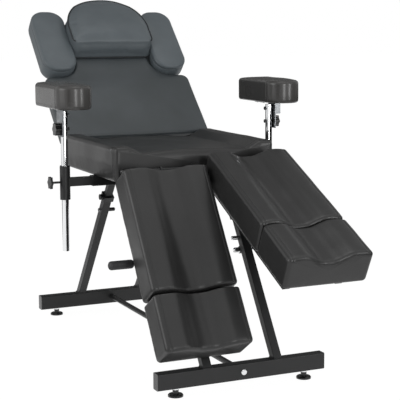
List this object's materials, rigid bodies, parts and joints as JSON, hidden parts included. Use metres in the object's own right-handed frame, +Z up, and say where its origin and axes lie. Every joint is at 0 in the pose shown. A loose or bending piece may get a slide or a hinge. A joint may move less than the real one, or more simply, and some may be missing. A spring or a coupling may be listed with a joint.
{
  "type": "tattoo chair",
  "caption": "Reclining tattoo chair on a braced steel frame: padded seat and back, head pillow with side wings, split leg rests that drop separately, and swivelling height-adjustable armrests.",
  "frame": {"origin": "middle of the floor plan of the whole chair in its stored pose, on the floor", "axes": "+Z up, the feet point to -Y and the head to +Y, +X is the sitter's left"},
  "size_m": [0.918, 1.6679, 1.2638],
  "materials": {
    "frame": "satin black powder coat",
    "plastic": "moulded black",
    "chrome": "polished",
    "bracket_steel": "zinc plated",
    "rubber": "matte",
    "board": "plywood covered in black fabric",
    "black_leather": "fine-grained imitation leather",
    "grey_leather": "fine-grained imitation leather"
  },
  "bodies": {
    "base": {"front_beam": "frame", "rear_beam": "frame", "beam_end_caps": "plastic", "foot_nuts": "chrome", "leg_tube_front_right": "frame", "leg_tube_front_left": "frame", "leg_tube_rear_right": "frame", "leg_tube_rear_left": "frame", "inner_leg_tubes": "frame", "leg_clamps": "plastic", "pin_nuts": "chrome", "stretcher": "frame", "stretcher_bolts": "chrome", "seat_rails_front": "frame", "seat_rails_rear": "frame", "seat_cross_tubes": "frame", "arm_receiver": "frame", "front_axle": "frame", "rear_axle": "frame", "seat_board": "board", "seat_cushion": "black_leather", "chrome_peg": "chrome"},
    "back": {"back_frame": "frame", "back_board": "board", "back_cushion": "grey_leather", "wing_right": "grey_leather", "wing_left": "grey_leather"},
    "head_pillow": {"pillow": "grey_leather"},
    "lever": {"release_lever": "frame", "lever_grip": "rubber"},
    "levelling_foot_front_right": {"levelling_foot_front_right": "plastic"},
    "levelling_foot_front_left": {"levelling_foot_front_left": "plastic"},
    "levelling_foot_rear_right": {"levelling_foot_rear_right": "plastic"},
    "levelling_foot_rear_left": {"levelling_foot_rear_left": "plastic"},
    "leg_pin_front_right": {"leg_pin_front_right": "chrome"},
    "leg_pin_front_left": {"leg_pin_front_left": "chrome"},
    "leg_pin_rear_right": {"leg_pin_rear_right": "chrome"},
    "leg_pin_rear_left": {"leg_pin_rear_left": "chrome"},
    "leg_rest_right": {"leg_rest_frame_right": "frame", "leg_rest_board_right": "board", "upper_leg_pad_right": "black_leather", "lower_leg_pad_right": "black_leather"},
    "arm_bar_right": {"arm_bar_right": "frame"},
    "arm_bush_right": {"sleeve_bush_right": "plastic"},
    "arm_post_right": {"arm_post_right": "chrome"},
    "arm_pad_right": {"pad_bracket_right": "bracket_steel", "arm_pad_right": "black_leather"},
    "sleeve_knob_right": {"sleeve_knob_right": "plastic"},
    "star_knob_right": {"star_knob_right": "plastic"},
    "leg_rest_left": {"leg_rest_frame_left": "frame", "leg_rest_board_left": "board", "upper_leg_pad_left": "black_leather", "lower_leg_pad_left": "black_leather"},
    "arm_bar_left": {"arm_bar_left": "frame"},
    "arm_bush_left": {"sleeve_bush_left": "plastic"},
    "arm_post_left": {"arm_post_left": "chrome"},
    "arm_pad_left": {"pad_bracket_left": "bracket_steel", "arm_pad_left": "black_leather"},
    "sleeve_knob_left": {"sleeve_knob_left": "plastic"},
    "star_knob_left": {"star_knob_left": "plastic"}
  },
  "joints": [
    {"name": "back_recline", "type": "hinge", "parent": "base", "child": "back", "pos_m": [0, 0.38985, 0.7], "axis": [1, 0, 0], "range_deg": [-45, 20]},
    {"name": "pillow_height", "type": "slide", "parent": "back", "child": "head_pillow", "axis": [0, 0.7071, 0.7071], "range_m": [-0.06, 0.05]},
    {"name": "lever_turn", "type": "hinge", "parent": "base", "child": "lever", "pos_m": [0, -0.27815, 0.39], "axis": [1, 0, 0], "range_deg": [-20, 20]},
    {"name": "levelling_foot_front_right_turn", "type": "hinge", "parent": "base", "child": "levelling_foot_front_right", "pos_m": [-0.234, -0.52165, 0], "axis": [0, 0, 1], "continuous": true},
    {"name": "levelling_foot_front_left_turn", "type": "hinge", "parent": "base", "child": "levelling_foot_front_left", "pos_m": [0.234, -0.52165, 0], "axis": [0, 0, 1], "continuous": true},
    {"name": "levelling_foot_rear_right_turn", "type": "hinge", "parent": "base", "child": "levelling_foot_rear_right", "pos_m": [-0.234, 0.69335, 0], "axis": [0, 0, 1], "continuous": true},
    {"name": "levelling_foot_rear_left_turn", "type": "hinge", "parent": "base", "child": "levelling_foot_rear_left", "pos_m": [0.234, 0.69335, 0], "axis": [0, 0, 1], "continuous": true},
    {"name": "leg_pin_front_right_turn", "type": "hinge", "parent": "base", "child": "leg_pin_front_right", "pos_m": [0, -0.2759, 0.44733], "axis": [1, 0, 0], "continuous": true},
    {"name": "leg_pin_front_left_turn", "type": "hinge", "parent": "base", "child": "leg_pin_front_left", "pos_m": [0, -0.2759, 0.44733], "axis": [1, 0, 0], "continuous": true},
    {"name": "leg_pin_rear_right_turn", "type": "hinge", "parent": "base", "child": "leg_pin_rear_right", "pos_m": [0, 0.41052, 0.46383], "axis": [1, 0, 0], "continuous": true},
    {"name": "leg_pin_rear_left_turn", "type": "hinge", "parent": "base", "child": "leg_pin_rear_left", "pos_m": [0, 0.41052, 0.46383], "axis": [1, 0, 0], "continuous": true},
    {"name": "leg_rest_right_tilt", "type": "hinge", "parent": "base", "child": "leg_rest_right", "pos_m": [0, -0.20015, 0.688], "axis": [1, 0, 0], "range_deg": [-56, 1]},
    {"name": "arm_right_reach", "type": "slide", "parent": "base", "child": "arm_bar_right", "axis": [-1, 0, 0], "range_m": [-0.03, 0.06]},
    {"name": "arm_right_swivel", "type": "hinge", "parent": "arm_bar_right", "child": "arm_bush_right", "pos_m": [-0.4, 0.05485, 0.63], "axis": [0, 0, 1], "range_deg": [-90, 90]},
    {"name": "arm_right_height", "type": "slide", "parent": "arm_bush_right", "child": "arm_post_right", "axis": [0, 0, 1], "range_m": [-0.08, 0.15]},
    {"name": "arm_right_tilt", "type": "hinge", "parent": "arm_post_right", "child": "arm_pad_right", "pos_m": [-0.4, 0.05485, 0.863], "axis": [1, 0, 0], "range_deg": [-12, 12]},
    {"name": "sleeve_knob_right_turn", "type": "hinge", "parent": "arm_bar_right", "child": "sleeve_knob_right", "pos_m": [-0.4, 0.05485, 0.63], "axis": [1, 0, 0], "continuous": true},
    {"name": "star_knob_right_turn", "type": "hinge", "parent": "arm_post_right", "child": "star_knob_right", "pos_m": [-0.4, 0.05485, 0.815], "axis": [1, 0, 0], "continuous": true},
    {"name": "leg_rest_left_tilt", "type": "hinge", "parent": "base", "child": "leg_rest_left", "pos_m": [0, -0.20015, 0.688], "axis": [1, 0, 0], "range_deg": [-25, 32]},
    {"name": "arm_left_reach", "type": "slide", "parent": "base", "child": "arm_bar_left", "axis": [1, 0, 0], "range_m": [-0.03, 0.06]},
    {"name": "arm_left_swivel", "type": "hinge", "parent": "arm_bar_left", "child": "arm_bush_left", "pos_m": [0.4, 0.05485, 0.63], "axis": [0, 0, 1], "range_deg": [-90, 90]},
    {"name": "arm_left_height", "type": "slide", "parent": "arm_bush_left", "child": "arm_post_left", "axis": [0, 0, 1], "range_m": [-0.08, 0.15]},
    {"name": "arm_left_tilt", "type": "hinge", "parent": "arm_post_left", "child": "arm_pad_left", "pos_m": [0.4, 0.05485, 0.863], "axis": [1, 0, 0], "range_deg": [-12, 12]},
    {"name": "sleeve_knob_left_turn", "type": "hinge", "parent": "arm_bar_left", "child": "sleeve_knob_left", "pos_m": [0.4, 0.05485, 0.63], "axis": [1, 0, 0], "continuous": true},
    {"name": "star_knob_left_turn", "type": "hinge", "parent": "arm_post_left", "child": "star_knob_left", "pos_m": [0.4, 0.05485, 0.815], "axis": [1, 0, 0], "continuous": true}
  ]
}
